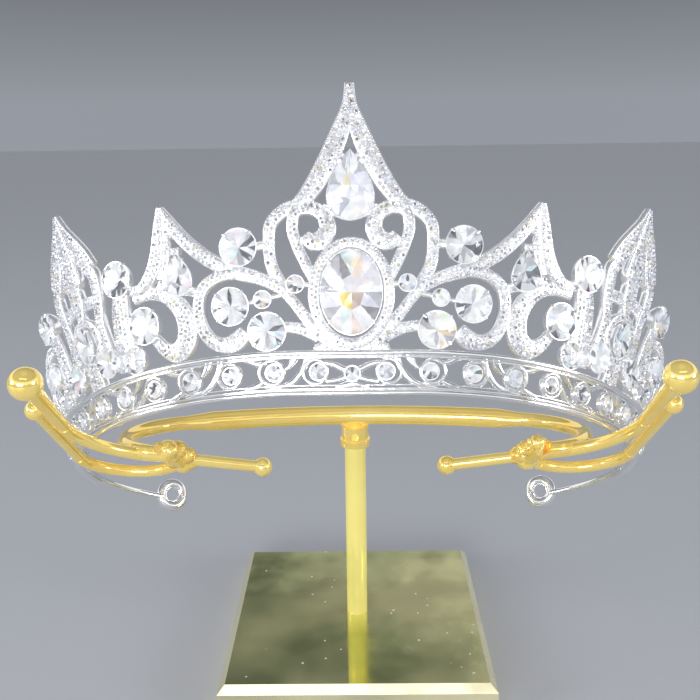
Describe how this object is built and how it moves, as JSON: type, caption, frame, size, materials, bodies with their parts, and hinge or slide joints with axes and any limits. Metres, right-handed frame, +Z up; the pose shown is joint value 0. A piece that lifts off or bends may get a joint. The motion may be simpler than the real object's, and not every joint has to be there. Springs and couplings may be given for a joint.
{
  "type": "rhinestone tiara on a display stand",
  "caption": "Silver openwork tiara set with clear cut stones, held tilted on a polished gold display stand with a bow of rods, a post and a square base plate.",
  "frame": {"origin": "centre of the base plate's underside", "axes": "+Z up, the tiara's high centre faces -Y, +X towards the viewer's right"},
  "size_m": [0.162, 0.1147, 0.1635],
  "materials": {
    "stand_gold": "mirror polished, plated",
    "tiara_silver": "plated silver colour, its ribbons set all over with fine clear stones",
    "clear_stone": "faceted, clear, with flashes of colour"
  },
  "bodies": {
    "root": {"base_plate": "stand_gold", "post": "stand_gold", "collar": "stand_gold", "cradle": "stand_gold", "tiara_frame": "tiara_silver", "centre_oval": "clear_stone", "centre_pear": "clear_stone", "band_stones": "clear_stone", "lobe_round_left": "clear_stone", "lobe_round_right": "clear_stone", "scroll_round_left": "clear_stone", "scroll_round_right": "clear_stone", "rail_round_left": "clear_stone", "rail_round_right": "clear_stone", "scroll_bead_left": "clear_stone", "scroll_bead_right": "clear_stone", "fork_bead_left": "clear_stone", "fork_bead_right": "clear_stone", "peak_pear_left": "clear_stone", "peak_pear_right": "clear_stone", "comma_round_left": "clear_stone", "comma_round_right": "clear_stone", "brow_round_left": "clear_stone", "brow_round_right": "clear_stone", "rail_bead_left": "clear_stone", "rail_bead_right": "clear_stone", "side_round_left": "clear_stone", "side_round_right": "clear_stone", "side_oval_left": "clear_stone", "side_oval_right": "clear_stone", "side_round_rear_left": "clear_stone", "side_round_rear_right": "clear_stone", "brow_round_rear_left": "clear_stone", "brow_round_rear_right": "clear_stone", "comma_round_rear_left": "clear_stone", "comma_round_rear_right": "clear_stone", "rail_bead_rear_left": "clear_stone", "rail_bead_rear_right": "clear_stone", "tail_bead_left": "clear_stone", "tail_bead_right": "clear_stone", "tail_round_left": "clear_stone", "tail_round_right": "clear_stone"}
  },
  "joints": []
}
